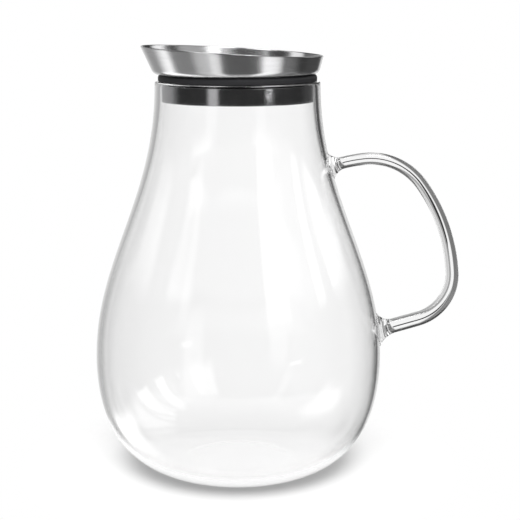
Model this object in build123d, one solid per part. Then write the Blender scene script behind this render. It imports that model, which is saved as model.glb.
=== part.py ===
from build123d import *
import os
from math import atan2, degrees

# A free-standing glass pitcher with a steel pouring lid that closes by itself.
# Lengths are in millimetres and angles in degrees. +Z is up, -X is the spout's side, +X the
# handle's side, and the origin is the middle of the base.

# Blown glass jug
BASE_R = 30.0  # flat disc that the jug stands on
BASE_SWEEP = 25.0  # level pull of the heel's curve, outwards from the disc
HEEL_RISE = 42.0  # upright pull of the heel's curve, below the belly
BELLY_R = 75.75
BELLY_Z = 60.5
SHOULDER_RISE = 53.0  # upright pull of the shoulder's curve, above the belly
NECK_DROP = 61.0  # upright pull of the shoulder's curve, below the rim
NECK_R = 42.75
RIM_Z = 206.5
FLOOR_WALL = 3.2
BELLY_WALL = 1.8
NECK_WALL = 2.75
RIM_OUTER_ROUND = 0.8
RIM_INNER_ROUND = 0.4

# Glass rod handle
ROD_R = 3.5
ROOT_Z = 162.4  # height where the rod leaves the neck
ROOT_RISE = 19.0  # angle above level at which it leaves
HANDLE_BENDS = ((78.5, 13.0), (33.0, 59.5), (90.2, 32.5), (24.5, 78.0))  # radius, turn
ROOT_PAD_R = 7.0  # fused pad on the neck
ROOT_FLARE = 6.0  # how far the pad's flare runs along the rod
TAIL_PAD_R = 9.5  # fused pad on the belly
TAIL_FLARE = 8.0
WELD_STEPS = 4
WELD_HOLLOW = 2.2  # how strongly the flare is hollowed, 1 being a straight cone

# Silicone gasket
BEAD_SEAT = 1.0  # how far the bead reaches over the glass, past the neck's bore
BEAD_H = 3.7  # the bead fills the space between the glass rim and the bowl
BEAD_ROUND = 2.2
SEAT_ROUND = 0.4  # the bead's lower edge, where it sits on the rim
WEB = 1.1  # thickness of the gasket's upright web
LIP_GAP = 0.35  # from the lip's tip to the glass
LIP_T = 0.8
LIP_DROP = 0.2  # from the rim down to the lip
LIP_ROOM = 0.3  # from the lip down to the sleeve's skirt

# Steel pouring bowl
SHEET = 0.9
FOOT_REACH = 6.5  # from the sleeve's groove out to the foot's edge
FOOT_SHIFT = 0.7  # the foot's centre stands this far towards the spout
FOOT_ROUND = 4.0
LIP_FLARE = 4.6  # how far the lip stands out past the foot's edge
LIP_SHIFT = 2.8  # the lip's centre stands this far towards the spout
FRONT_RISE = 14.5  # height of the pouring lip above the foot
REAR_RISE = 9.4  # height of the lip above the foot at the handle's side

# Steel sleeve below the bowl
SLEEVE_GAP = 0.8  # from the neck's bore to the sleeve
SLEEVE_SHEET = 0.8
GROOVE_DEPTH = 3.2  # of the narrow part that carries the gasket
SKIRT_H = 8.7  # wide part below the groove
SKIRT_LIP = 6.2  # width of the turned-in lower edge
SKIRT_ROUND = 1.2
GASKET_FIT = 0.1  # from the groove to the gasket's web

# Pouring flap
HOLE_R = 22.0
HOLE_SHIFT = 4.0  # the pouring hole's centre stands this far towards the spout
HOLE_BACK = 9.0  # straight back edge of the pouring hole
HOLE_CORNER = 3.0
SEAL_INSET = 0.5  # from the hole's edge to the seal
SEAL_W = 2.4
SEAL_T = 0.8
FLAP_T = 0.8
FLAP_EDGE = 0.3  # the flap stands this far past the seal

# Hinge
PIN_R = 1.5
PIN_FIT = 0.05  # between the pin and the flap's barrel
EAR_FIT = 0.02  # between the pin and the ears
BARREL_R = 2.5
BARREL_L = 24.0
BARREL_LIFT = 0.3  # from the floor to the barrel
BARREL_FRONT = 12.6  # front of the barrel, on the handle's side of the axis
EAR_T = 2.0
EAR_R = 2.8
EAR_GAP = 0.4
PIN_HEAD_R = 2.2
PIN_HEAD_T = 0.8
OPEN_ANGLE = 75.0  # where the heel meets the floor
HEEL_L = 4.5
HEEL_T = 1.2
HEEL_W = 10.0

# Counterweight and its screw
WEIGHT_R = 8.0
WEIGHT_L = 17.0
WEIGHT_ROUND = 1.5
SCREW_R = 1.5
SCREW_L = 9.0
SCREW_FIT = 0.02
SCREW_HEAD_R = 3.2
SCREW_HEAD_T = 1.6
SCREW_HEAD_ROUND = 1.0
DRIVE_SLOT = 0.8

bore_r = NECK_R - NECK_WALL
bead_r = bore_r + BEAD_SEAT
sleeve_r = bore_r - SLEEVE_GAP
groove_r = sleeve_r - GROOVE_DEPTH
foot_r = groove_r + FOOT_REACH
lip_r = foot_r + LIP_FLARE
foot_z = RIM_Z + BEAD_H
floor_z = foot_z + SHEET
groove_z = RIM_Z - LIP_DROP - LIP_T - LIP_ROOM
pivot_x = BARREL_FRONT + BARREL_R
pivot_z = floor_z + BARREL_LIFT + BARREL_R
flap_z = floor_z + SEAL_T
flap_back = BARREL_FRONT - EAR_GAP - (EAR_R - BARREL_R)
pivot = Pos(pivot_x, 0, pivot_z)


def turned(*edges):
    """Solid turned about the upright axis from a closed outline of (radius, height)."""
    return revolve(Plane.XZ * make_face(edges), Axis.Z)


def closed(points):
    """Closed straight-sided outline through the points."""
    return Polyline(*points, close=True)


def flank(bottom_z, belly_r, neck_r):
    """One side of the jug: a heel curve and a shoulder curve that meet upright at the belly."""
    heel = Bezier(
        (BASE_R, bottom_z),
        (BASE_R + BASE_SWEEP, bottom_z),
        (belly_r, BELLY_Z - HEEL_RISE),
        (belly_r, BELLY_Z),
    )
    shoulder = Bezier(
        (belly_r, BELLY_Z),
        (belly_r, BELLY_Z + SHOULDER_RISE),
        (neck_r, RIM_Z - NECK_DROP),
        (neck_r, RIM_Z),
    )
    return heel, shoulder


def jug_form(bottom_z, belly_r, neck_r):
    """Filled jug shape between a floor height and the rim."""
    axis = Polyline((neck_r, RIM_Z), (0, RIM_Z), (0, bottom_z), (BASE_R, bottom_z))
    return turned(axis, *flank(bottom_z, belly_r, neck_r))


def rim_rings(body):
    """The edges of the rim's flat top, the smaller first."""
    top = body.faces().sort_by(Axis.Z)[-1]
    return top.edges().filter_by(GeomType.CIRCLE).sort_by(SortBy.RADIUS)


def glass_body():
    """Blown jug with a thick floor, a thin belly and a fire-polished rim."""
    body = jug_form(0, BELLY_R, NECK_R) - jug_form(FLOOR_WALL, BELLY_R - BELLY_WALL, bore_r)
    body = fillet(rim_rings(body)[-1], RIM_OUTER_ROUND)
    return fillet(rim_rings(body)[0], RIM_INNER_ROUND)


def weld(point, wall_out, rod_out, pad_r, length):
    """Fused end of the rod: circles that shrink from a pad on the wall to the rod's section."""
    root = Plane(origin=point, z_dir=wall_out)
    form = extrude(root * Circle(pad_r), -pad_r)
    sections = []
    for step in range(WELD_STEPS + 1):
        along = step / WELD_STEPS
        radius = ROD_R + (pad_r - ROD_R) * (1 - along) ** WELD_HOLLOW
        lean = wall_out * (1 - along) + rod_out * along
        sections.append(Plane(origin=point + rod_out * (along * length), z_dir=lean) * Circle(radius))
    return form + loft(sections)


def upright(flat):
    """Point or direction of the XZ outline, placed in space."""
    return Vector(flat.X, 0, flat.Y)


def handle():
    """Bent glass rod, fused to the neck and to the belly by flared ends."""
    shoulder = flank(0, BELLY_R, NECK_R)[1]
    root = shoulder.intersect(Line((0, ROOT_Z), (BELLY_R, ROOT_Z))).vertices()[0].center()
    leave = Vector(1, 0).rotate(Axis.Z, ROOT_RISE)
    runs = [Line(root - leave * ROOT_PAD_R, root)]
    for radius, turn in HANDLE_BENDS:
        runs.append(JernArc(runs[-1] @ 1, runs[-1] % 1, radius, -turn))
    arrive = runs[-1] % 1
    tail = Line(runs[-1] @ 1, runs[-1] @ 1 + arrive * BELLY_R)
    meet = tail.intersect(shoulder).vertices()[0].center()
    runs.append(Line(tail @ 0, meet + arrive * TAIL_PAD_R))
    path = Plane.XZ * Wire(runs)
    whole = sweep(Plane(origin=path @ 0, z_dir=path % 0) * Circle(ROD_R), path=path)
    ends = ((root, leave, ROOT_PAD_R, ROOT_FLARE), (meet, -arrive, TAIL_PAD_R, TAIL_FLARE))
    for point, rod_out, pad_r, length in ends:
        wall_out = shoulder.tangent_at(shoulder.param_at_point(point)).rotate(Axis.Z, -90)
        whole += weld(upright(point), upright(wall_out), upright(rod_out), pad_r, length)
    return whole - jug_form(0, BELLY_R, NECK_R)


def bowl_form(inset):
    """Flared bowl with a slanting lip, filled, and set in by a sheet's thickness or not at all."""
    lip_tilt = degrees(atan2(FRONT_RISE - REAR_RISE, 2 * lip_r))
    lip_z = foot_z + (FRONT_RISE + REAR_RISE) / 2
    foot = Pos(-FOOT_SHIFT, 0, foot_z + inset) * Circle(foot_r - inset)
    lip = Pos(-LIP_SHIFT, 0, lip_z) * Rot(0, lip_tilt, 0) * Circle(lip_r - inset)
    form = loft([foot, lip], ruled=True)
    return fillet(form.edges().filter_by(GeomType.CIRCLE).sort_by(Axis.Z)[0], FOOT_ROUND - inset)


def hole_outline(margin, back):
    """The pouring hole's outline grown by a margin: a disc with a straight back edge."""
    disc_r = HOLE_R + margin
    disc = Pos(-HOLE_SHIFT, 0) * Circle(disc_r)
    front = Pos(back - 2 * disc_r, 0) * Rectangle(4 * disc_r, 4 * disc_r)
    outline = disc & front
    return fillet(outline.vertices(), HOLE_CORNER)


def lid_bowl():
    """Spun steel bowl whose floor has the pouring hole."""
    hole = Pos(0, 0, foot_z) * extrude(hole_outline(0, HOLE_BACK), SHEET)
    return bowl_form(0) - bowl_form(SHEET) - hole


def neck_sleeve():
    """Spun sleeve: a narrow groove for the gasket above a wide skirt with a turned-in edge."""
    mouth_r = sleeve_r - SKIRT_LIP
    outer_low = groove_z - SKIRT_H
    inner_low = outer_low + SLEEVE_SHEET
    inner_r = sleeve_r - SLEEVE_SHEET
    step_z = groove_z - SLEEVE_SHEET
    step_r = groove_r - SLEEVE_SHEET
    skirt = FilletPolyline(
        (mouth_r, outer_low), (sleeve_r, outer_low), (sleeve_r, groove_z), radius=SKIRT_ROUND
    )
    groove = Polyline(
        (sleeve_r, groove_z),
        (groove_r, groove_z),
        (groove_r, foot_z),
        (step_r, foot_z),
        (step_r, step_z),
        (inner_r, step_z),
    )
    inside = FilletPolyline(
        (inner_r, step_z), (inner_r, inner_low), (mouth_r, inner_low), radius=SKIRT_ROUND - SLEEVE_SHEET
    )
    return turned(skirt, groove, inside, Line((mouth_r, inner_low), (mouth_r, outer_low)))


def gasket():
    """Silicone ring: a fat bead above the glass rim and a thin lip inside the neck."""
    inner_r = groove_r + GASKET_FIT
    web_r = inner_r + WEB
    tip_r = bore_r - LIP_GAP
    web = turned(closed(((inner_r, groove_z), (web_r, groove_z), (web_r, foot_z), (inner_r, foot_z))))
    corners = ((inner_r, RIM_Z), (bead_r, RIM_Z), (bead_r, foot_z), (inner_r, foot_z))
    crown = FilletPolyline(*corners, radius=(SEAT_ROUND, BEAD_ROUND))
    bead = turned(crown, Line((inner_r, foot_z), (inner_r, RIM_Z)))
    top = RIM_Z - LIP_DROP
    mid_r = tip_r - LIP_T / 2
    tip = ThreePointArc((mid_r, top), (tip_r, top - LIP_T / 2), (mid_r, top - LIP_T))
    sides = Polyline((mid_r, top - LIP_T), (inner_r, top - LIP_T), (inner_r, top), (mid_r, top))
    return web + bead + turned(tip, sides)


def hinge_ear(side):
    """Upright ear, welded to the bowl's floor, that holds one end of the pin. Side is -1 or 1."""
    plate = Circle(EAR_R) + Pos(0, -(pivot_z - floor_z) / 2) * Rectangle(2 * EAR_R, pivot_z - floor_z)
    plate -= Circle(PIN_R + EAR_FIT)
    middle = side * (BARREL_L / 2 + EAR_GAP + EAR_T / 2)
    return pivot * Pos(0, middle, 0) * extrude(Plane.XZ * plate, EAR_T / 2, both=True)


def hinge_pin():
    """Steel pin with a head at each end, outside the ears."""
    half = BARREL_L / 2 + EAR_GAP + EAR_T
    pin = Cylinder(PIN_R, 2 * half)
    for side in (-1, 1):
        pin += Pos(0, 0, side * (half + PIN_HEAD_T / 2)) * Cylinder(PIN_HEAD_R, PIN_HEAD_T)
    return pivot * Rot(90, 0, 0) * pin


def flap():
    """Steel flap with a rolled barrel at its back edge and a heel that stops it when open."""
    margin = SEAL_INSET + SEAL_W + FLAP_EDGE
    leaf = Pos(0, 0, flap_z) * extrude(hole_outline(margin, flap_back), FLAP_T)
    tongue_l = pivot_x - flap_back + HOLE_CORNER
    tongue_x = pivot_x - tongue_l / 2
    leaf += Pos(tongue_x, 0, flap_z + FLAP_T / 2) * Box(tongue_l, BARREL_L, FLAP_T)
    leaf += pivot * Rot(90, 0, 0) * Cylinder(BARREL_R, BARREL_L)
    heel = Pos(HEEL_L / 2, 0, HEEL_T / 2 - BARREL_R) * Box(HEEL_L, HEEL_W, HEEL_T)
    leaf += pivot * Rot(0, -OPEN_ANGLE, 0) * heel
    leaf -= pivot * Rot(90, 0, 0) * Cylinder(PIN_R + PIN_FIT, BARREL_L)
    leaf -= Pos(0, 0, flap_z + FLAP_T / 2) * Cylinder(SCREW_R + SCREW_FIT, FLAP_T)
    return leaf


def flap_seal():
    """Flat silicone ring under the flap, around the pouring hole."""
    seal_back = flap_back - FLAP_EDGE
    outer = hole_outline(SEAL_INSET + SEAL_W, seal_back)
    inner = hole_outline(SEAL_INSET, HOLE_BACK + SEAL_INSET)
    return Pos(0, 0, floor_z) * extrude(outer - inner, SEAL_T)


def counterweight():
    """Round steel weight that hangs through the pouring hole and swings the flap open."""
    weight = Pos(0, 0, -WEIGHT_L / 2) * Cylinder(WEIGHT_R, WEIGHT_L)
    weight = fillet(weight.edges().group_by(Axis.Z)[0], WEIGHT_ROUND)
    weight -= Pos(0, 0, -SCREW_L / 2) * Cylinder(SCREW_R + SCREW_FIT, SCREW_L)
    return Pos(0, 0, flap_z) * weight


def weight_screw():
    """Round-headed screw through the flap into the weight."""
    head = Pos(0, 0, SCREW_HEAD_T / 2) * Cylinder(SCREW_HEAD_R, SCREW_HEAD_T)
    head = fillet(head.edges().group_by(Axis.Z)[-1], SCREW_HEAD_ROUND)
    head -= Pos(0, 0, SCREW_HEAD_T) * Box(2 * SCREW_HEAD_R, DRIVE_SLOT, SCREW_HEAD_T)
    shank_l = SCREW_L + FLAP_T
    shank = Pos(0, 0, -shank_l / 2) * Cylinder(SCREW_R, shank_l)
    return Pos(0, 0, flap_z + FLAP_T) * (head + shank)


nodes = {
    "glass_body": glass_body(),
    "handle": handle(),
    "lid_bowl": lid_bowl(),
    "neck_sleeve": neck_sleeve(),
    "gasket": gasket(),
    "left_hinge_ear": hinge_ear(-1),
    "right_hinge_ear": hinge_ear(1),
    "hinge_pin": hinge_pin(),
    "flap": flap(),
    "flap_seal": flap_seal(),
    "counterweight": counterweight(),
    "weight_screw": weight_screw(),
}

os.makedirs("parts", exist_ok=True)
for name, solid in nodes.items():
    export_step(solid, f"parts/{name}.step")
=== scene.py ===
import bmesh
import bpy
import numpy as np
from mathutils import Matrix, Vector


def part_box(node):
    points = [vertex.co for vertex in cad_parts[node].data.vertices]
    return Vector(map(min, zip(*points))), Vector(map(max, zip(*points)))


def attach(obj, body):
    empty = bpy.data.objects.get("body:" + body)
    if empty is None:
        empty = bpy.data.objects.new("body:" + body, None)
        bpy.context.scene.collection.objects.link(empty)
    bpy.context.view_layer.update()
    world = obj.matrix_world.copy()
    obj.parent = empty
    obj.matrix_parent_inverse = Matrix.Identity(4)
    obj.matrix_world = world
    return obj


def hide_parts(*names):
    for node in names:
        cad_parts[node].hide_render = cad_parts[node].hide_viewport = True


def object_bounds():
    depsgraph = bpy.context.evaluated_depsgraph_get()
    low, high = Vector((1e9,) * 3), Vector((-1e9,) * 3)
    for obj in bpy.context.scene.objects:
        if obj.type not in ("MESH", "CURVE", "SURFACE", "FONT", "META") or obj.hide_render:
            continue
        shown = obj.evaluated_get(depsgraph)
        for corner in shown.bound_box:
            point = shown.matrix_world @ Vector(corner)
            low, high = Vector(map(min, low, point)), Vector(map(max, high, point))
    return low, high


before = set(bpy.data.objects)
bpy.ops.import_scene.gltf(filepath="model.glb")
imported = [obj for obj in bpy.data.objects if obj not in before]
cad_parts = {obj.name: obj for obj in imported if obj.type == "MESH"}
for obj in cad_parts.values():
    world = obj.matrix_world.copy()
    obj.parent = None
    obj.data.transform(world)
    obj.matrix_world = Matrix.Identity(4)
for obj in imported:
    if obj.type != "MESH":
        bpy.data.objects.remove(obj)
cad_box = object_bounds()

# Glass jug and handle. The jug is blown from clear heat-proof glass, with a thick floor, a thin belly
# and a fire-polished rim. The handle is a bent glass rod whose flared ends are fused to the neck and
# to the belly in the flame, so the two are one piece of glass.
MM = 0.001
AROUND = 256  # steps round a turned surface
BASE_R = 30.0
BASE_SWEEP = 25.0
HEEL_RISE = 42.0
BELLY_Z = 60.5
SHOULDER_RISE = 53.0
NECK_DROP = 61.0
NECK_R = 42.75
FLOOR_WALL = 3.2
BELLY_WALL = 1.8
NECK_WALL = 2.75
RIM_OUTER_ROUND = 0.8
RIM_INNER_ROUND = 0.6
PUNT = 0.12  # how far the underside is pushed up in the middle
PUNT_R = 29.8
PUNT_EDGE = 4.5
ROD_RADII = (3.15, 3.2, 3.25, 3.9)  # at the neck, over the top arm, along the grip and at the belly
ROD_STATIONS = (0.0, 0.3, 0.55, 0.9)  # shares of the rod's length for those radii
ROOT_Z = 162.4
ROOT_RISE = 19.0
BEND_RADII = np.array((78.5, 33.0, 90.2, 24.5))
BEND_TURNS = np.radians((13.0, 59.5, 32.5, 78.0))
TAIL_REACH = 60.0  # longest straight run from the last bend to the belly
ROOT_PAD_R = 7.0
ROOT_FLARE = 7.0
TAIL_PAD_R = 9.0
TAIL_FLARE = 9.0
WELD_HOLLOW = 2.6  # how strongly the flared ends are hollowed
WELD_SINK = 1.1  # how far the rod's ends reach into the wall before they fuse
WELD_RIPPLE = 0.12  # height of the rings that the flame leaves on the flares
WELD_RIPPLE_PITCH = 1.7
ROD_RINGS = 200
ROD_SIDES = 48
PATH_STEPS = 4000  # fine steps along the handle's line
HEEL_ROWS = 72
SHOULDER_ROWS = 74
PUNT_ROWS = 32
FLOOR_ROWS = 8
RIM_CLEAR = 0.05  # the side's rows stop this far below the rim's rounds
SAME_POINT = 1e-8  # points nearer than this, in metres, become one
SHARP_ANGLE = np.radians(40)  # an edge that turns by more stays crisp
GLASS_TINT = (0.992, 0.992, 0.992, 1)
FLOOR_SHADE = (0.3, 0.3, 0.3, 1)  # light that the thick floor lets through to the table
WALL_SHADE = (0.92, 0.92, 0.92, 1)  # light that the thin wall lets through
SHADE_HEIGHTS = (0.004, 0.026)  # metres between which the first turns into the second
MIRRORINGS = 2.5  # a ray that was mirrored more often goes straight on
bore_r = NECK_R - NECK_WALL


def node_box(node):
    """Lowest and highest corner of a solid of the frame, in millimetres."""
    low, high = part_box(node)
    return np.array(low) / MM, np.array(high) / MM


def bezier(start, start_pull, end_pull, end, count):
    """Cubic curve: four points weighted by the Bernstein polynomials of t, for t from 0 to 1."""
    t = np.linspace(0, 1, count)
    weights = np.stack([(1 - t) ** 3, 3 * t * (1 - t) ** 2, 3 * t**2 * (1 - t), t**3], -1)
    return np.tensordot(weights, np.array([start, start_pull, end_pull, end], float), 1)


def full_turn(steps=AROUND):
    """Even steps of angle once round, without the end, which is the start again."""
    return np.linspace(0, 2 * np.pi, steps, endpoint=False)


def turned(profile, around=AROUND):
    """Outline of (radius, height) rows carried round the upright axis:
    x = radius cos a, y = radius sin a, z = height, for a from 0 to a full turn."""
    angle = full_turn(around)
    radius, height = profile[:, :1], profile[:, 1:]
    return np.stack(np.broadcast_arrays(radius * np.cos(angle), radius * np.sin(angle), height), -1)


def grid_piece(name, *grids, loop=False):
    """Object from grids of points in millimetres, rows by columns. The columns close on themselves,
    the rows only in a loop, and a row whose points are all one point becomes a pole."""
    faces, points = [], 0
    for grid in grids:
        rows, columns = grid.shape[:2]
        row = np.arange(rows if loop else rows - 1)[:, None]
        column = np.arange(columns)[None, :]
        next_row, next_column = (row + 1) % rows, (column + 1) % columns
        corners = [row * columns + column, row * columns + next_column]
        corners += [next_row * columns + next_column, next_row * columns + column]
        faces.append(np.stack(corners, -1).reshape(-1, 4) + points)
        points += rows * columns
    mesh = bpy.data.meshes.new(name)
    places = np.concatenate([grid.reshape(-1, 3) for grid in grids])
    mesh.from_pydata(places * MM, [], np.concatenate(faces))
    welded = bmesh.new()
    welded.from_mesh(mesh)
    bmesh.ops.remove_doubles(welded, verts=welded.verts, dist=SAME_POINT)
    welded.to_mesh(mesh)
    welded.free()
    mesh.shade_smooth()
    mesh.set_sharp_from_angle(angle=SHARP_ANGLE)
    piece = bpy.data.objects.new(name, mesh)
    bpy.context.scene.collection.objects.link(piece)
    return piece


def joined(piece, other, operation):
    """Changes a piece by another closed one: UNION fuses the two, DIFFERENCE cuts the other out."""
    change = piece.modifiers.new("joined", "BOOLEAN")
    change.operation = operation
    change.solver = "MANIFOLD"
    change.object = other
    mesh = bpy.data.meshes.new_from_object(piece.evaluated_get(bpy.context.evaluated_depsgraph_get()))
    piece.modifiers.clear()
    piece.data = mesh
    bpy.data.objects.remove(other)
    mesh.materials.clear()
    mesh.shade_smooth()


class Flow:
    """One output of a shader's nodes. Sums of flows and numbers add Math nodes to its tree."""

    def __init__(self, tree, socket=None):
        self.tree = tree
        self.socket = socket

    def node(self, kind, settings, inputs, output=0):
        """Adds a node: its settings come first, then a number, colour or flow for each input."""
        added = self.tree.nodes.new("ShaderNode" + kind)
        for name, value in settings.items():
            setattr(added, name, value)
        for key, value in inputs.items():
            if isinstance(value, Flow):
                self.tree.links.new(value.socket, added.inputs[key])
            else:
                added.inputs[key].default_value = value
        return Flow(self.tree, added.outputs[output] if added.outputs else None)

    def math(self, operation, *terms):
        return self.node("Math", {"operation": operation}, dict(enumerate(terms)))

    def ramp(self, low, high, start=0.0, end=1.0):
        """Smooth step from start, where the flow is low, to end, where it is high."""
        limits = {"Value": self, "From Min": low, "From Max": high, "To Min": start, "To Max": end}
        return self.node("MapRange", {"interpolation_type": "SMOOTHSTEP"}, limits)

    def __add__(self, other):
        return self.math("ADD", self, other)

    def __sub__(self, other):
        return self.math("SUBTRACT", self, other)

    def __rsub__(self, other):
        return self.math("SUBTRACT", other, self)

    def __mul__(self, other):
        return self.math("MULTIPLY", self, other)

    __radd__ = __add__
    __rmul__ = __mul__


def new_material(name):
    """Empty material, and the flow that its nodes are added from."""
    material = bpy.data.materials.new(name)
    material.use_nodes = True
    material.node_tree.nodes.clear()
    return material, Flow(material.node_tree)


def flank(bottom_z, side_r, mouth_r):
    """Side of the jug: a heel curve and a shoulder curve that meet upright at the belly."""
    heel = bezier(
        (BASE_R, bottom_z),
        (BASE_R + BASE_SWEEP, bottom_z),
        (side_r, BELLY_Z - HEEL_RISE),
        (side_r, BELLY_Z),
        HEEL_ROWS,
    )
    shoulder = bezier(
        (side_r, BELLY_Z),
        (side_r, BELLY_Z + SHOULDER_RISE),
        (mouth_r, rim_z - NECK_DROP),
        (mouth_r, rim_z),
        SHOULDER_ROWS,
    )
    return np.concatenate([heel, shoulder[1:]])


def quarter(centre_r, centre_z, radius, start, turn, count=8):
    """Arc about a centre, from a start angle through a turn, as (radius, height) rows."""
    angle = np.radians(np.linspace(start, start + turn, count))
    return np.stack([centre_r + radius * np.cos(angle), centre_z + radius * np.sin(angle)], -1)


def jug_grid():
    """Outline turned once round: up the outside from the punt, over the rim and down the inside."""
    punt_r = np.linspace(0, PUNT_R, PUNT_ROWS)
    edge = np.clip((PUNT_R - punt_r) / PUNT_EDGE, 0, 1)
    punt = np.stack([punt_r, PUNT * edge**2 * (3 - 2 * edge)], -1)
    outside = flank(0, belly_r, NECK_R)
    inside = flank(FLOOR_WALL, belly_r - BELLY_WALL, bore_r)[::-1]
    outer_rim_z = rim_z - RIM_OUTER_ROUND
    inner_rim_z = rim_z - RIM_INNER_ROUND
    outer_round = quarter(NECK_R - RIM_OUTER_ROUND, outer_rim_z, RIM_OUTER_ROUND, 0, 90)
    inner_round = quarter(bore_r + RIM_INNER_ROUND, inner_rim_z, RIM_INNER_ROUND, 90, 90)
    floor_r = np.linspace(BASE_R, 0, FLOOR_ROWS)[1:]
    floor = np.stack([floor_r, FLOOR_WALL + 0 * floor_r], -1)
    outside = outside[outside[:, 1] < outer_rim_z - RIM_CLEAR]
    inside = inside[inside[:, 1] < inner_rim_z - RIM_CLEAR]
    return turned(np.concatenate([punt, outside, outer_round, inner_round, inside, floor]))


def handle_grid():
    """Rings carried along a line that leaves the neck, turns evenly through each bend and runs
    straight to the belly. Near its ends each ring widens to a pad and leans to lie on the wall."""
    side = flank(0, belly_r, NECK_R)
    slope = np.arctan2(-np.gradient(side[:, 0]), np.gradient(side[:, 1]))
    stations = np.concatenate([[0], np.cumsum(BEND_RADII * BEND_TURNS)])
    headings = np.radians(ROOT_RISE) - np.concatenate([[0], np.cumsum(BEND_TURNS)])
    run = np.linspace(0, stations[-1] + TAIL_REACH, PATH_STEPS)
    heading = np.interp(run, stations, headings)
    step = run[1]
    x = np.interp(ROOT_Z, side[:, 1], side[:, 0]) + np.cumsum(np.cos(heading)) * step
    z = ROOT_Z + np.cumsum(np.sin(heading)) * step
    inside = (run > stations[-1]) & (x < np.interp(z, side[:, 1], side[:, 0]))
    length = run[np.argmax(inside)]
    along = np.linspace(0, length, ROD_RINGS)
    x, z, heading = np.interp(along, run, x), np.interp(along, run, z), np.interp(along, run, heading)
    root_lean = np.interp(ROOT_Z, side[:, 1], slope)
    tail_lean = np.interp(z[-1], side[:, 1], slope) - np.pi
    radius = np.interp(along / length, ROD_STATIONS, ROD_RADII)
    root = (along, ROOT_FLARE, ROOT_PAD_R, root_lean)
    tail = (length - along, TAIL_FLARE, TAIL_PAD_R, tail_lean)
    for away, flare, pad_r, lean in (root, tail):
        near = np.clip(1 - away / flare, 0, 1)
        radius = radius + (pad_r - radius) * near**WELD_HOLLOW
        radius = radius + WELD_RIPPLE * np.sin(2 * np.pi * away / WELD_RIPPLE_PITCH) * near
        heading = heading + (lean - heading) * near
    centre = np.stack([x, 0 * x, z], -1)
    axis = np.stack([np.cos(heading), 0 * heading, np.sin(heading)], -1)
    sunk = [centre[:1] - axis[:1] * WELD_SINK, centre[-1:] + axis[-1:] * WELD_SINK]
    centre = np.concatenate([sunk[0], sunk[0], centre, sunk[1], sunk[1]])
    heading = np.pad(heading, 2, mode="edge")
    radius = np.pad(np.pad(radius, 1, mode="edge"), 1)
    outward = np.stack([-np.sin(heading), 0 * heading, np.cos(heading)], -1)[:, None]
    turn = np.linspace(0, -2 * np.pi, ROD_SIDES, endpoint=False)[:, None]
    ring = np.cos(turn) * outward + np.sin(turn) * np.array([0, 1, 0])
    return centre[:, None] + radius[:, None, None] * ring


def glass_finish():
    """Clear glass with the slow waves that blowing leaves in its surface. In the shadow its thick floor
    lets less light through than its wall, and a ray that was mirrored three times goes straight on."""
    material, start = new_material("clear_glass")
    place = start.node("TexCoord", {}, {}, "Object")
    waves = start.node("TexNoise", {}, {"Vector": place, "Scale": 26.0, "Detail": 1.0})
    waved = start.node("Bump", {}, {"Height": waves, "Strength": 0.12, "Distance": 0.001})
    values = {"Base Color": GLASS_TINT, "Roughness": 0.0, "IOR": 1.47}
    clear = start.node("BsdfPrincipled", {}, {**values, "Transmission Weight": 1.0, "Normal": waved})
    paths = ("Is Shadow Ray", "Is Diffuse Ray", "Glossy Depth")
    shadow, scattered, bounced = (start.node("LightPath", {}, {}, name) for name in paths)
    open_way = start.node("BsdfTransparent", {}, {"Color": (1, 1, 1, 1)})
    height = start.node("SeparateXYZ", {}, {0: place}, "Z")
    thick = start.node("BsdfTransparent", {}, {"Color": FLOOR_SHADE})
    thin = start.node("BsdfTransparent", {}, {"Color": WALL_SHADE})
    shade = start.node("MixShader", {}, {0: height.ramp(*SHADE_HEIGHTS), 1: thick, 2: thin})
    spent = start.math("GREATER_THAN", bounced, MIRRORINGS)
    freed = start.node("MixShader", {}, {0: spent, 1: clear, 2: open_way})
    shading = start.math("MAXIMUM", shadow, scattered)
    glass = start.node("MixShader", {}, {0: shading, 1: freed, 2: shade})
    start.node("OutputMaterial", {}, {"Surface": glass})
    return material


belly_r = -cad_box[0][0] / MM
rim_z = node_box("glass_body")[1][2]
jug = grid_piece("glass_jug", jug_grid())
rod = grid_piece("glass_rod", handle_grid())
joined(jug, rod, "UNION")
jug.data.materials.append(glass_finish())
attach(jug, "jug")
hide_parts("glass_body", "handle")

# Neck sleeve. It is spun from thin stainless sheet and polished, with a groove for the gasket and a
# skirt whose lower edge is turned in. Its upper edge is welded under the pouring bowl.
SLEEVE_SHEET = 0.8
SLEEVE_ROUND = 0.4
SLEEVE_MOUTH = 6.2  # width of the turned-in lower edge
GROOVE_DEPTH = 3.2
SKIRT_H = 8.7
STEP_ROUND = 0.5
SLEEVE_EDGE = 0.3  # round of the cut edge and of the inner corners
SLEEVE_CREASE = 0.2  # round of the groove's corners
SLEEVE_WELD = 0.1  # round of the welded upper edge


def rounded(corners, radii, steps=13):
    """Closed outline through corners, each rounded by an arc that touches its two sides at
    radius x tan(half the turn) from the corner."""
    corners = np.array(corners, float)
    outline = []
    befores, afters = np.roll(corners, 1, 0), np.roll(corners, -1, 0)
    for before, corner, after, radius in zip(befores, corners, afters, radii):
        back = (before - corner) / np.linalg.norm(before - corner)
        ahead = (after - corner) / np.linalg.norm(after - corner)
        half_turn = (np.pi - np.arccos(np.clip(back @ ahead, -1, 1))) / 2
        reach = radius * np.tan(half_turn)
        pull = reach - radius * 4 / 3 * np.tan(half_turn / 2)
        arc = bezier(back * reach, back * pull, ahead * pull, ahead * reach, steps)
        outline.append(corner + arc)
    return np.concatenate(outline)


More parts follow.
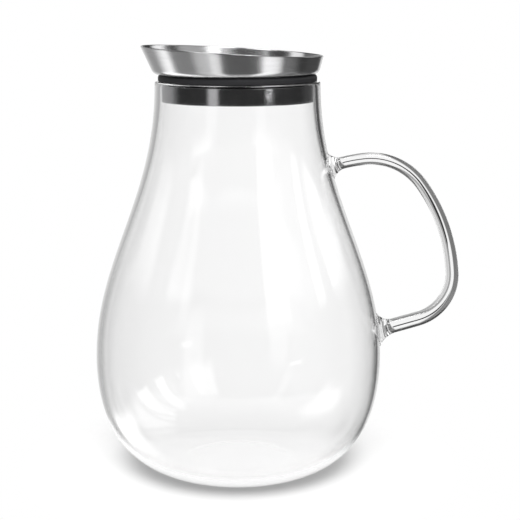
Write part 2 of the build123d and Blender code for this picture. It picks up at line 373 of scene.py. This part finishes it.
def polished_steel():
    """Polished stainless steel with faint turning lines and a few soft smears."""
    material, start = new_material("polished_steel")
    place = start.node("TexCoord", {}, {}, "Object")
    smear = start.node("TexNoise", {}, {"Vector": place, "Scale": 90.0, "Detail": 3.0})
    lines = start.node("Mapping", {}, {"Vector": place, "Scale": (30.0, 30.0, 4000.0)})
    rings = start.node("TexNoise", {}, {"Vector": lines, "Scale": 1.0, "Detail": 2.0})
    worked = start.node("Bump", {}, {"Height": rings, "Strength": 0.08, "Distance": 0.0001})
    values = {"Base Color": (0.55, 0.55, 0.56, 1), "Metallic": 1.0, "Roughness": 0.1 + 0.08 * smear}
    steel = start.node("BsdfPrincipled", {}, {**values, "Normal": worked})
    start.node("OutputMaterial", {}, {"Surface": steel})
    return material


sleeve_low, sleeve_high = node_box("neck_sleeve")
sleeve_r, foot_z = sleeve_high[0], sleeve_high[2]
groove_r = sleeve_r - GROOVE_DEPTH
groove_z = sleeve_low[2] + SKIRT_H
mouth_r = sleeve_r - SLEEVE_MOUTH
sleeve_corners = (
    (mouth_r, sleeve_low[2]),
    (sleeve_r, sleeve_low[2]),
    (sleeve_r, groove_z),
    (groove_r, groove_z),
    (groove_r, foot_z),
    (groove_r - SLEEVE_SHEET, foot_z),
    (groove_r - SLEEVE_SHEET, groove_z - SLEEVE_SHEET),
    (sleeve_r - SLEEVE_SHEET, groove_z - SLEEVE_SHEET),
    (sleeve_r - SLEEVE_SHEET, sleeve_low[2] + SLEEVE_SHEET),
    (mouth_r, sleeve_low[2] + SLEEVE_SHEET),
)
sleeve_rounds = (SLEEVE_EDGE, SLEEVE_ROUND, STEP_ROUND, SLEEVE_CREASE, SLEEVE_WELD)
sleeve_rounds += (SLEEVE_WELD, SLEEVE_EDGE, SLEEVE_CREASE, SLEEVE_EDGE, SLEEVE_EDGE)
sleeve = grid_piece("neck_sleeve_spun", turned(rounded(sleeve_corners, sleeve_rounds)), loop=True)
polished = polished_steel()
sleeve.data.materials.append(polished)
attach(sleeve, "lid")
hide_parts("neck_sleeve")

# Gasket. It is moulded in black silicone and stretched into the sleeve's groove. Its fat bead sits
# between the glass rim and the bowl, and its thin lip closes the gap inside the neck.
WEB = 1.1
GASKET_FIT = 0.1
BEAD_ROUND = 1.7
SEAT_ROUND = 0.9
LIP_GAP = 0.35
LIP_T = 0.8
LIP_DROP = 0.2
LIP_ROUND = 0.38
LIP_CREASE = 0.05  # round of the corners above the lip
GASKET_EDGE = 0.1


def black_silicone():
    """Black silicone with the fine grain of its mould and a little dust."""
    material, start = new_material("black_silicone")
    place = start.node("TexCoord", {}, {}, "Object")
    grain = start.node("TexNoise", {}, {"Vector": place, "Scale": 2500.0, "Detail": 2.0})
    dust = start.node("TexNoise", {}, {"Vector": place, "Scale": 400.0, "Detail": 4.0}).ramp(0.62, 0.8)
    black, grey = (0.012, 0.012, 0.013, 1), (0.03, 0.03, 0.031, 1)
    tone = start.node("Mix", {"data_type": "RGBA"}, {0: dust, 6: black, 7: grey}, 2)
    moulded = start.node("Bump", {}, {"Height": grain, "Strength": 0.15, "Distance": 0.0001})
    values = {"Base Color": tone, "Roughness": 0.5 + 0.14 * grain, "Normal": moulded}
    values |= {"Specular IOR Level": 0.3}
    rubber = start.node("BsdfPrincipled", {}, values)
    start.node("OutputMaterial", {}, {"Surface": rubber})
    return material


bead_r = node_box("gasket")[1][0]
web_in = groove_r + GASKET_FIT
web_out = web_in + WEB
tip_r = bore_r - LIP_GAP
lip_top = rim_z - LIP_DROP
gasket_corners = (
    (web_in, foot_z),
    (web_in, groove_z),
    (web_out, groove_z),
    (web_out, lip_top - LIP_T),
    (tip_r, lip_top - LIP_T),
    (tip_r, lip_top),
    (web_out, lip_top),
    (web_out, rim_z),
    (bead_r, rim_z),
    (bead_r, foot_z),
)
gasket_rounds = (GASKET_EDGE,) * 4
gasket_rounds += (LIP_ROUND, LIP_ROUND, LIP_CREASE, LIP_CREASE, SEAT_ROUND, BEAD_ROUND)
gasket = grid_piece("gasket_ring", turned(rounded(gasket_corners, gasket_rounds)), loop=True)
silicone = black_silicone()
gasket.data.materials.append(silicone)
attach(gasket, "lid")
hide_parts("gasket")

# Pouring bowl. It is spun from stainless sheet to a flared dish whose lip slants up to the spout, and
# its satin grain runs round it. Its floor has a D-shaped pouring hole.
SHEET = 0.9
FOOT_R = 42.5
FOOT_SHIFT = 0.7
FOOT_ROUND = 4.0
LIP_R = 47.1
LIP_SHIFT = 2.8
FRONT_RISE = 14.5
REAR_RISE = 9.4
HOLE_R = 22.0
HOLE_SHIFT = 4.0
HOLE_BACK = 9.0
HOLE_CORNER = 3.0
LIP_EDGE = 0.45  # radius of the rolled-over lip
FOOT_ROWS = 14
LIP_ROWS = 12
FLAT_ROWS = 10
WALL_ROWS = 18
HALVINGS = 40
FINE_GRAIN = 6000.0  # lines of the steel's fine grain to a metre


def hole_outline(angle, disc_r, back):
    """Outline of the pouring hole: a disc cut by a straight back edge, with round corners. On each
    ray from the disc's centre it halves the step to where the rounded meeting of the two is crossed:
    min(larger distance, -corner) + length of what the two distances reach past -corner."""
    angle, disc_r, back = np.broadcast_arrays(angle, disc_r, back)
    low, high = 0.0 * disc_r, 1.0 * disc_r
    for _ in range(HALVINGS):
        middle = (low + high) / 2
        past_disc = middle - disc_r
        past_back = middle * np.cos(angle) - HOLE_SHIFT - back
        within = np.minimum(np.maximum(past_disc, past_back), -HOLE_CORNER)
        by_disc, by_back = np.maximum(past_disc + HOLE_CORNER, 0), np.maximum(past_back + HOLE_CORNER, 0)
        corner = np.hypot(by_disc, by_back)
        outside = within + corner > 0
        low, high = np.where(outside, low, middle), np.where(outside, middle, high)
    return np.stack([low * np.cos(angle) - HOLE_SHIFT, low * np.sin(angle)], -1)


def bowl_wall(angle, inset):
    """One face of the sheet: the arc that touches floor and wall alike at the foot, the lip as a tilted
    circle, less the radius of its rolled edge, and the direction in which the wall rises."""
    tilt = np.arctan2(FRONT_RISE - REAR_RISE, 2 * LIP_R)
    foot_r, lip_r = FOOT_R - inset, LIP_R - inset
    foot = [foot_r * np.cos(angle) - FOOT_SHIFT, foot_r * np.sin(angle), 0 * angle + foot_z + inset]
    foot = np.stack(foot, -1)
    lip_z = foot_z + (FRONT_RISE + REAR_RISE) / 2
    across = lip_r * np.cos(angle)
    lip = [across * np.cos(tilt) - LIP_SHIFT, lip_r * np.sin(angle), lip_z - across * np.sin(tilt)]
    lip = np.stack(lip, -1)
    inward = -np.stack([np.cos(angle), np.sin(angle), 0 * angle], -1)
    rise = lip - foot
    rise /= np.linalg.norm(rise, axis=-1, keepdims=True)
    half_turn = (np.pi - np.arccos((inward * rise).sum(-1, keepdims=True))) / 2
    radius = FOOT_ROUND - inset
    reach = radius * np.tan(half_turn)
    pull = reach - radius * 4 / 3 * np.tan(half_turn / 2)
    on_floor, on_wall = foot + inward * reach, foot + rise * reach
    arc = bezier(on_floor, foot + inward * pull, foot + rise * pull, on_wall, FOOT_ROWS)
    return arc, lip - rise * LIP_EDGE, rise


def span(start, end, count):
    """Evenly spaced rows from one row of points to another, without the two ends."""
    share = np.linspace(0, 1, count + 2)[1:-1, None, None]
    return start + (end - start) * share


def bowl_grid():
    """Closed sheet: out from the hole under the floor, round the foot, up the outside, over the lip,
    down the inside and back to the hole. Every row runs once round the bowl."""
    angle = full_turn()
    hole = hole_outline(angle, HOLE_R, HOLE_BACK)
    under = np.concatenate([hole, 0 * hole[:, :1] + foot_z], -1)
    above = under + (0, 0, SHEET)
    outer_arc, outer_lip, rise = bowl_wall(angle, 0)
    inner_arc, inner_lip, _ = bowl_wall(angle, SHEET)
    over_pull = rise * LIP_EDGE * 4 / 3
    over = bezier(outer_lip, outer_lip + over_pull, inner_lip + over_pull, inner_lip, LIP_ROWS)
    rows = [under[None], span(under, outer_arc[0], FLAT_ROWS), outer_arc]
    rows += [span(outer_arc[-1], outer_lip, WALL_ROWS), over, span(inner_lip, inner_arc[-1], WALL_ROWS)]
    rows += [inner_arc[::-1], span(inner_arc[0], above, FLAT_ROWS), above[None]]
    return np.concatenate(rows)


def grained_steel(name, light, dark, roughness, depth, coarse, straight=False):
    """Stainless steel with a grain of fine lines and broader bands that run round the axis, as spinning
    and turning leave them, or straight along y, as brushing a sheet does."""
    material, start = new_material(name)
    place = start.node("TexCoord", {}, {}, "Object")
    x, y, z = (start.node("SeparateXYZ", {}, {0: place}, axis) for axis in "XYZ")
    radius = start.math("SQRT", x * x + y * y)
    across, along = (x, y * 60.0) if straight else (radius, start.math("ARCTAN2", y, x) * 3.0)
    line_axis = start.node("CombineXYZ", {}, {0: across * FINE_GRAIN, 1: z * FINE_GRAIN, 2: along})
    band_axis = start.node("CombineXYZ", {}, {0: across * coarse, 1: z * coarse, 2: along * 0.5})
    fine = start.node("TexNoise", {}, {"Vector": line_axis, "Scale": 1.0, "Detail": 2.0})
    broad = start.node("TexNoise", {}, {"Vector": band_axis, "Scale": 1.0, "Detail": 2.0})
    tone = start.node("Mix", {"data_type": "RGBA"}, {0: broad, 6: light, 7: dark}, 2)
    grain = start.node("Bump", {}, {"Height": fine, "Strength": depth, "Distance": 0.0001})
    values = {"Base Color": tone, "Metallic": 1.0, "Roughness": roughness + 0.1 * fine, "Normal": grain}
    values |= {"Anisotropic": 0.85, "Anisotropic Rotation": 0.25}
    steel = start.node("BsdfPrincipled", {}, values)
    start.node("OutputMaterial", {}, {"Surface": steel})
    return material


bowl = grid_piece("pouring_bowl", bowl_grid(), loop=True)
spun_tones = (0.66, 0.66, 0.665, 1), (0.58, 0.58, 0.585, 1)
spun_finish = grained_steel("satin_steel", *spun_tones, roughness=0.16, depth=0.12, coarse=900.0)
bowl.data.materials.append(spun_finish)
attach(bowl, "lid")
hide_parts("lid_bowl")

# Hinge ears and pin. Two ears of stainless plate stand on the bowl's floor behind the hole, welded
# to it, and a polished pin with a round head at each end goes through them and the flap's barrel.
EAR_EDGE = 0.3
PIN_R = 1.5
PIN_HEAD_T = 0.8
PIN_HEAD_ROUND = 0.6
PIN_EDGE = 0.1
PIN_CREASE = 0.05
PIN_AROUND = 64
EDGE_STEPS = 14  # steps over a plate's round edge
FACE_INSET = 0.08  # share of the way to a face's middle where its first ring lies


def plate_grid(outline, low, high, edge, rings=6):
    """Plate with round edges: rings from the middle of its lower face out to the outline, drawn in by
    the edge's radius x (1 - cos turn), over two quarter turns, and rings to the upper face's middle."""
    along = np.roll(outline, -1, 0) - np.roll(outline, 1, 0)
    inward = np.stack([-along[:, 1], along[:, 0]], -1) / np.linalg.norm(along, axis=-1, keepdims=True)
    turn = np.radians(np.linspace(-90, 90, EDGE_STEPS))
    inset = edge * (1 - np.cos(turn))
    height = np.where(turn < 0, low + edge * (1 + np.sin(turn)), high - edge * (1 - np.sin(turn)))
    rim = outline + inset[:, None, None] * inward
    rim = np.concatenate([rim, np.broadcast_to(height[:, None, None], rim.shape[:2] + (1,))], -1)
    faces = []
    for edge_row in (rim[0], rim[-1]):
        middle = np.broadcast_to(edge_row.mean(0), edge_row.shape)
        face_edge = edge_row + (middle - edge_row) * FACE_INSET
        faces.append(np.concatenate([middle[None], span(middle, face_edge, rings), face_edge[None]]))
    return np.concatenate([faces[0], rim, faces[1][::-1]])


def crosswise(grid):
    """Lays an upright grid along the hinge: its heights run along y, and its (x, y) become (z, x)."""
    return np.roll(grid, -1, -1)


pin_low, pin_high = node_box("hinge_pin")
pivot = (pin_low + pin_high) / 2
pin_end = pin_high[1] - PIN_HEAD_T
pin_head_r = pin_high[0] - pivot[0]
for side in ("left", "right"):
    ear_low, ear_high = node_box(side + "_hinge_ear")
    ear_r = (ear_high[0] - ear_low[0]) / 2
    ear_corners = (
        (ear_low[2], ear_low[0]),
        (ear_high[2], ear_low[0]),
        (ear_high[2], ear_high[0]),
        (ear_low[2], ear_high[0]),
    )
    ear_outline = rounded(ear_corners, (EAR_EDGE, ear_r, ear_r, EAR_EDGE))
    ear_grid = plate_grid(ear_outline, ear_low[1], ear_high[1], EAR_EDGE)
    ear = grid_piece(side + "_ear_plate", crosswise(ear_grid))
    ear.data.materials.append(polished)
    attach(ear, "lid")
    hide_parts(side + "_hinge_ear")
pin_corners = (
    (0, pin_low[1]),
    (pin_head_r, pin_low[1]),
    (pin_head_r, -pin_end),
    (PIN_R, -pin_end),
    (PIN_R, pin_end),
    (pin_head_r, pin_end),
    (pin_head_r, pin_high[1]),
    (0, pin_high[1]),
)
pin_rounds = (0, PIN_HEAD_ROUND, PIN_EDGE, PIN_CREASE, PIN_CREASE, PIN_EDGE, PIN_HEAD_ROUND, 0)
pin_grid = crosswise(turned(rounded(pin_corners, pin_rounds), PIN_AROUND))
pin = grid_piece("hinge_pin_turned", pin_grid + pivot)
pin.data.materials.append(polished)
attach(pin, "lid")
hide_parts("hinge_pin")

# Flap. It is cut from stainless sheet with a satin grain, and a ring pressed into it keeps it flat. Its
# back is rolled into a barrel round the pin, and a tab on the barrel stops it when it stands open.
FLAP_T = 0.8
FLAP_MARGIN = 3.2  # how far it reaches past the hole
FLAP_BACK = 11.9
FLAP_EDGE = 0.3
PRESSED_R = 14.5
PRESSED_W = 2.2
PRESSED_H = 0.35
BARREL_R = 2.5
BARREL_L = 24.0
ROLL_START = 3.5  # how far in front of the flap's back edge the rolled tongue starts
ROLL_END = 197.0  # angle round the pin where the rolled edge ends
HEEL_L = 4.5
HEEL_T = 1.2
HEEL_W = 10.0
HEEL_ANGLE = 75.0
ROLL_EDGE = 0.2
HEEL_EDGE = 0.3
LEAF_RINGS = 60
DIP_STEPS = 24
ROLL_STEPS = 64
HEEL_STEPS = 12
SMALL_ARC = 7  # steps round a small corner


def strip_grid(path, thick, wide, edge):
    """Strip of rectangular section with round edges, carried along a path of (x, z) rows: each ring is
    the section set out along the path's normal and along y, and the ends close at their middles."""
    ahead = np.gradient(path, axis=0)
    ahead /= np.linalg.norm(ahead, axis=-1, keepdims=True)
    level = np.zeros(len(path))
    centre = np.stack([path[:, 0], level, path[:, 1]], -1)[:, None]
    normal = np.stack([ahead[:, 1], level, -ahead[:, 0]], -1)[:, None]
    corners = np.array(((-thick, -wide), (thick, -wide), (thick, wide), (-thick, wide))) / 2
    section = rounded(corners, (edge,) * 4, SMALL_ARC)
    rings = centre + normal * section[:, :1] + section[:, 1:] * np.array((0, 1, 0))
    ends = [np.broadcast_to(centre[end], rings[end].shape)[None] for end in (0, -1)]
    return np.concatenate([ends[0], rings, ends[1]])


def leaf_grid():
    """Flat D-shaped plate whose height is raised by a pressed ring: cos^2 over its width."""
    angle = full_turn()
    outline = hole_outline(angle, HOLE_R + FLAP_MARGIN, FLAP_BACK)
    leaf = plate_grid(outline, flap_z, flap_z + FLAP_T, FLAP_EDGE, LEAF_RINGS)
    past_ring = np.hypot(leaf[..., 0], leaf[..., 1]) - PRESSED_R
    leaf[..., 2] += PRESSED_H * np.cos(np.pi / 2 * np.clip(past_ring / PRESSED_W, -1, 1)) ** 2
    return leaf


def roll_path():
    """Tongue that dips from the flap to the barrel's foot, and the arc round the pin."""
    middle_r = BARREL_R - FLAP_T / 2
    share = np.linspace(0, 1, DIP_STEPS)
    start_x = FLAP_BACK - ROLL_START
    drop = flap_z + FLAP_T / 2 - (pivot[2] - middle_r)
    dip_z = pivot[2] - middle_r + drop * (1 - share**2 * (3 - 2 * share))
    dip = np.stack([start_x + (pivot[0] - start_x) * share, dip_z], -1)
    arc = quarter(pivot[0], pivot[2], middle_r, -90, ROLL_END + 90, ROLL_STEPS)
    return np.concatenate([dip, arc[1:]])


def heel_path():
    """Straight tab that leaves the barrel's foot level when the flap is open."""
    lean = np.radians(HEEL_ANGLE)
    run = np.linspace(0, HEEL_L, HEEL_STEPS)
    sunk = BARREL_R - HEEL_T / 2
    x = pivot[0] + run * np.cos(lean) + sunk * np.sin(lean)
    return np.stack([x, pivot[2] + run * np.sin(lean) - sunk * np.cos(lean)], -1)


flap_z = node_box("flap_seal")[1][2]
roll = strip_grid(roll_path(), FLAP_T, BARREL_L, ROLL_EDGE)
heel = strip_grid(heel_path(), HEEL_T, HEEL_W, HEEL_EDGE)
flap = grid_piece("flap_sheet", leaf_grid(), roll, heel)
flap_tones = (0.64, 0.64, 0.645, 1), (0.56, 0.56, 0.565, 1)
brushing = {"roughness": 0.2, "depth": 0.15, "coarse": 700.0, "straight": True}
flap.data.materials.append(grained_steel("brushed_sheet", *flap_tones, **brushing))
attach(flap, "flap")
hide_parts("flap")

# Flap seal. A flat ring moulded in black silicone is bonded under the flap, and it lies on the bowl's
# floor round the pouring hole.
SEAL_INSET = 0.5
SEAL_W = 2.4
SEAL_ROUND = 0.25
SEAL_BACKS = (9.5, 11.6)  # straight back edges inside and outside


def seal_grid():
    """Rounded section carried round the hole: each row is the hole's outline grown by one margin."""
    low_z, high_z = (corner[2] for corner in node_box("flap_seal"))
    outer = SEAL_INSET + SEAL_W
    corners = ((SEAL_INSET, low_z), (outer, low_z), (outer, high_z), (SEAL_INSET, high_z))
    section = rounded(corners, (SEAL_ROUND,) * 4, SMALL_ARC)
    margin, height = section[:, :1], section[:, 1:]
    back = np.interp(margin, (SEAL_INSET, outer), SEAL_BACKS)
    angle = full_turn()[None]
    outline = hole_outline(angle, HOLE_R + margin, back)
    return np.concatenate([outline, np.broadcast_to(height[..., None], outline.shape[:2] + (1,))], -1)


seal = grid_piece("flap_seal_ring", seal_grid(), loop=True)
seal.data.materials.append(silicone)
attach(seal, "flap")
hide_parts("flap_seal")

# Counterweight and its screw. The weight is turned from stainless bar with two grooves and a round
# lower edge, and a slotted screw through the flap holds it.
WEIGHT_ROUND = 1.5
WEIGHT_BEVEL = 0.4
WEIGHT_GROOVES = (5.0, 8.0)  # heights of the grooves above the lower end
WEIGHT_GROOVE = 0.5
GROOVE_EDGE = 0.15
GROOVE_BOTTOM = 0.1
WEIGHT_AROUND = 128
SCREW_R = 1.5
SCREW_HEAD_T = 1.6
SCREW_HEAD_ROUND = 1.2
DRIVE_SLOT = 0.8
SLOT_ROUND = 0.2
SLOT_EDGE = 0.1
SLOT_OVER = 1.0  # how far the cutter reaches past the head
SCREW_TIP = 0.3
SCREW_EDGE = 0.2
SCREW_CREASE = 0.05
SCREW_AROUND = 96

weight_low, weight_high = node_box("counterweight")
weight_r = weight_high[0]
weight_corners = [(0, weight_low[2]), (weight_r, weight_low[2])]
weight_rounds = [0, WEIGHT_ROUND]
for height in WEIGHT_GROOVES:
    groove_mid = weight_low[2] + height
    weight_corners += [(weight_r, groove_mid - WEIGHT_GROOVE), (weight_r - WEIGHT_GROOVE, groove_mid)]
    weight_corners += [(weight_r, groove_mid + WEIGHT_GROOVE)]
    weight_rounds += [GROOVE_EDGE, GROOVE_BOTTOM, GROOVE_EDGE]
weight_corners += [(weight_r, weight_high[2]), (0, weight_high[2])]
weight_rounds += [WEIGHT_BEVEL, 0]
weight_outline = rounded(weight_corners, weight_rounds, SMALL_ARC)
weight = grid_piece("counterweight_turned", turned(weight_outline, WEIGHT_AROUND))
screw_low, screw_high = node_box("weight_screw")
screw_head_r, screw_head_z = screw_high[0], screw_high[2] - SCREW_HEAD_T
screw_corners = (
    (0, screw_low[2]),
    (SCREW_R, screw_low[2]),
    (SCREW_R, screw_head_z),
    (screw_head_r, screw_head_z),
    (screw_head_r, screw_high[2]),
    (0, screw_high[2]),
)
screw_rounds = (0, SCREW_TIP, SCREW_CREASE, SCREW_EDGE, SCREW_HEAD_ROUND, 0)
screw = grid_piece("weight_screw_turned", turned(rounded(screw_corners, screw_rounds), SCREW_AROUND))
slot_half = (screw_head_r + SLOT_OVER, DRIVE_SLOT / 2)
slot_corners = np.array(((-1, -1), (1, -1), (1, 1), (-1, 1))) * slot_half
slot_outline = rounded(slot_corners, (SLOT_ROUND,) * 4)
slot_low, slot_high = screw_high[2] - SCREW_HEAD_T / 2, screw_high[2] + SLOT_OVER
slot = plate_grid(slot_outline, slot_low, slot_high, SLOT_EDGE)
joined(screw, grid_piece("drive_slot", slot), "DIFFERENCE")
screw.data.set_sharp_from_angle(angle=SHARP_ANGLE)
turned_tones = (0.6, 0.6, 0.61, 1), (0.5, 0.5, 0.51, 1)
turned_finish = grained_steel("turned_steel", *turned_tones, roughness=0.14, depth=0.3, coarse=1500.0)
for piece, node in ((weight, "counterweight"), (screw, "weight_screw")):
    piece.data.materials.append(turned_finish)
    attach(piece, "flap")
    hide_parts(node)

# Studio. The jug stands on a white table with white boards and dark screens around it, and a soft lamp
# in front gives the table its shadow. The lamp is hidden from what steel and glass mirror or let through.
FLOOR_R = 0.3
SHADOW_R = 0.12  # the table fades to the plain ground here
FLOOR_DROP = 0.15  # keeps the table's face off the glass
TABLE_ROWS = 40
TABLE_PAINT = (0.35, 0.35, 0.35, 1)
TABLE_GLOW = 0.3
SOFTBOX_SIZE = 0.5
SOFTBOX_RISE = 45.0  # angle above level of the front lamp, a metre away
SOFTBOX_POWER = 21.0
WHITE = (1, 1, 1, 1)
KEY_LIGHTS = (((0.215, -0.307, 0.927), 10.0), ((-0.35, -0.12, 0.929), 7.0))  # direction and brightness
KEY_EDGE = (14, 11)  # degrees from a key light's middle where it begins and is full
DEGREES = 180 / np.pi


def band(value, low, high, soft):
    """1 between low and high, falling smoothly to 0 over a soft margin on each side."""
    return value.ramp(low - soft, low) * value.ramp(high, high + soft, 1.0, 0.0)


def boards(azimuth, base, *panels):
    """Brightness round the studio: a base, and boards given by their sides, soft edge and brightness."""
    light = base
    for left, right, soft, brightness in panels:
        light = light + band(azimuth, left, right, soft) * (brightness - base)
    return light


def studio_light():
    """World: plain white for the camera, a lit white ground with dark screens at its sides for what is
    seen through glass, and boards in three layers for what is mirrored and for the light. What is mirrored
    behind glass has window panes and a white patch in place of the key lights."""
    world = bpy.data.worlds.new("studio")
    world.use_nodes = True
    world.node_tree.nodes.clear()
    start = Flow(world.node_tree)
    ray = start.node("TexCoord", {}, {}, "Generated")
    x, y, z = (start.node("SeparateXYZ", {}, {0: ray}, name) for name in "XYZ")
    paths = ("Is Camera Ray", "Is Transmission Ray", "Transmission Depth")
    paths += ("Glossy Depth", "Diffuse Depth")
    seen, crossed, faces, bounced, scattered = (start.node("LightPath", {}, {}, name) for name in paths)
    facing = start.math("ARCTAN2", x, y * -1.0) * DEGREES
    behind = start.math("ARCTAN2", x, y) * DEGREES
    height = start.math("ARCSINE", z) * DEGREES
    low = boards(
        facing,
        0.12,
        (-180, -152, 6, 0.1),
        (-134, -106, 9, 2.0),
        (-85, -68, 12, 0.3),
        (-58, -38, 8, 0.78),
        (-34, -23, 4, 1.2),
        (46, 68, 8, 1.7),
        (80, 98, 6, 0.35),
    )
    middle = boards(facing, 0.04, (-180, -120, 30, 0.5), (-40, -30, 5, 0.7), (47, 53, 5, 0.16))
    high = boards(
        facing,
        0.06,
        (-108, -92, 8, 1.5),
        (-49, -45, 3, 0.65),
        (28, 44, 5, 1.7),
        (50, 90, 6, 0.6),
        (120, 138, 8, 1.5),
    )
    low = low + height.ramp(-62, -48, 0.2, 0.0)
    mirrored = low + height.ramp(-32, -22) * (middle - low)
    mirrored = mirrored + height.ramp(5, 22) * (high - mirrored)
    mirrored = mirrored + height.ramp(46, 56) * (0.35 - mirrored)
    glazed = start.math("MINIMUM", faces, 1.0)
    for direction, brightness in KEY_LIGHTS:
        product = {"operation": "DOT_PRODUCT"}
        facing_key = start.node("VectorMath", product, {0: ray, 1: direction}, "Value")
        key = facing_key.ramp(*np.cos(np.radians(KEY_EDGE))) * (1.0 - glazed)
        mirrored = mirrored + key * (brightness - mirrored)
    panes = (band(facing, 76, 84, 2) + band(facing, 96, 110, 2)) * band(height, 14, 50, 3)
    panes = 1.8 * panes + 3.0 * band(facing, 43, 51, 1.5) * band(height, -4.1, -2.8, 0.15)
    mirrored = mirrored + glazed * panes
    ground_edge = boards(behind, 0.85, (29, 75, 8, 0.08), (-75, -37, 26, 0.42))
    mirrored = mirrored + band(behind, -60, 60, 15) * band(height, -22, 2, 6) * (ground_edge - mirrored)
    patch = glazed * band(behind, -24, 24, 12) * band(height, 10, 40, 8)
    mirrored = mirrored + patch * (0.95 - mirrored)
    by_neck = boards(behind, 1.0, (20, 33, 6, 0.1), (-34, -31, 8, 0.3))
    by_belly = boards(behind, 1.0, (18, 33, 8, 0.1), (-34, -22, 11, 0.35))
    by_wall = by_neck + height.ramp(-10, -5, 1.0, 0.0) * (by_belly - by_neck)
    by_wall = 1.0 + height.ramp(-45, -25) * height.ramp(12, 30, 1.0, 0.0) * (by_wall - 1.0)
    by_wall = by_wall * behind.ramp(-10, 6, 1.05, 1.11) * height.ramp(-23, -16, 0.88, 0.98)
    by_wall = by_wall * (1.0 - 0.045 * band(height, -12.3, -8.8, 1.2) * band(behind, -3.2, 0.5, 1.2))
    by_rod = boards(behind, 1.0, (-75, -5, 6, 0.2), (16, 24, 3, 0.37), (29, 50, 4, 0.66))
    by_rod = by_rod * boards(height, 1.0, (16, 42, 4, 0.22), (-60, -38, 6, 0.75))
    by_rod = by_rod * (1.0 - 0.96 * band(height, -9.6, -5.2, 1.2) * band(behind, 1, 15, 3))
    through = by_rod + start.math("GREATER_THAN", faces, 2.5) * (by_wall - by_rod)
    straight = crossed * start.math("LESS_THAN", bounced + scattered, 0.5)
    light = mirrored + straight * (through - mirrored)
    light = light + seen * (1.0 - light)
    ground = start.node("Background", {}, {"Color": WHITE, "Strength": light})
    start.node("OutputWorld", {}, {"Surface": ground})
    bpy.context.scene.world = world


def table_finish():
    """White table top that keeps the jug's shadow and fades to the plain ground at its edge. What is
    seen through glass looks past it to the lit ground, and so does what is mirrored from further off."""
    material, start = new_material("white_table")
    place = start.node("TexCoord", {}, {}, "Object")
    away = start.node("VectorMath", {"operation": "LENGTH"}, {0: place}, "Value")
    rear = start.node("SeparateXYZ", {}, {0: place}, "Y")
    paths = ("Is Camera Ray", "Is Glossy Ray", "Glossy Depth", "Transmission Depth", "Ray Length")
    seen, mirrored, bounced, crossed, reach = (start.node("LightPath", {}, {}, name) for name in paths)
    bounced, crossed = (start.math("MINIMUM", depth, 1.0) for depth in (bounced, crossed))
    paint = start.node("BsdfDiffuse", {}, {"Color": TABLE_PAINT})
    shown = TABLE_GLOW * start.math("MAXIMUM", seen, mirrored)
    glow = start.node("Emission", {}, {"Color": WHITE, "Strength": shown})
    lit = start.node("AddShader", {}, {0: paint, 1: glow})
    # Painted shade: for rays that went through the glass and were mirrored in it, the table glows less
    # from 7 cm out from the axis. This darker ring gives the jug's heel its dark contour.
    shade = 1.0 - 0.7 * crossed * away.ramp(0.07, 0.095)
    ground = start.node("Emission", {}, {"Color": WHITE, "Strength": shade})
    plain = start.math("MAXIMUM", away.ramp(0.7 * SHADOW_R, SHADOW_R), crossed)
    top = start.node("MixShader", {}, {0: plain, 1: lit, 2: ground})
    past = start.node("BsdfTransparent", {}, {"Color": WHITE})
    in_rear = rear.ramp(-0.07, -0.03) * away.ramp(0.06, 0.1)
    beyond = start.math("MAXIMUM", reach.ramp(0.17, 0.21), in_rear)
    faded = start.math("MAXIMUM", crossed * (1.0 - bounced), mirrored * beyond)
    table = start.node("MixShader", {}, {0: faded, 1: top, 2: past})
    start.node("OutputMaterial", {}, {"Surface": table})
    return material


studio_light()
table_r = np.linspace(FLOOR_R / MM, 0, TABLE_ROWS)
table = grid_piece("table_top", turned(np.stack([table_r, 0 * table_r - FLOOR_DROP], -1)))
table.data.materials.append(table_finish())
softbox = bpy.data.objects.new("front_softbox", bpy.data.lights.new("front_softbox", "AREA"))
softbox.data.size = SOFTBOX_SIZE
softbox.data.energy = SOFTBOX_POWER
softbox.location = (0, -np.cos(np.radians(SOFTBOX_RISE)), np.sin(np.radians(SOFTBOX_RISE)))
softbox.rotation_euler = (np.radians(90 - SOFTBOX_RISE), 0, 0)
softbox.visible_glossy = False
softbox.visible_transmission = False
bpy.context.scene.collection.objects.link(softbox)

# Camera. It stands in front of the jug, a little to the right of its axis, and looks slightly down.
CAMERA_PLACE = (0.01155, -0.6757, 0.24745)
CAMERA_DOWN = 11.3  # degrees below level
camera = bpy.data.cameras.new("camera")
camera.lens = 90.0
camera.sensor_width = 36.0
viewer = bpy.data.objects.new("camera", camera)
viewer.location = CAMERA_PLACE
viewer.rotation_euler = (np.radians(90 - CAMERA_DOWN), 0, 0)
bpy.context.scene.collection.objects.link(viewer)
bpy.context.scene.camera = viewer
bpy.context.scene.view_settings.view_transform = "Standard"
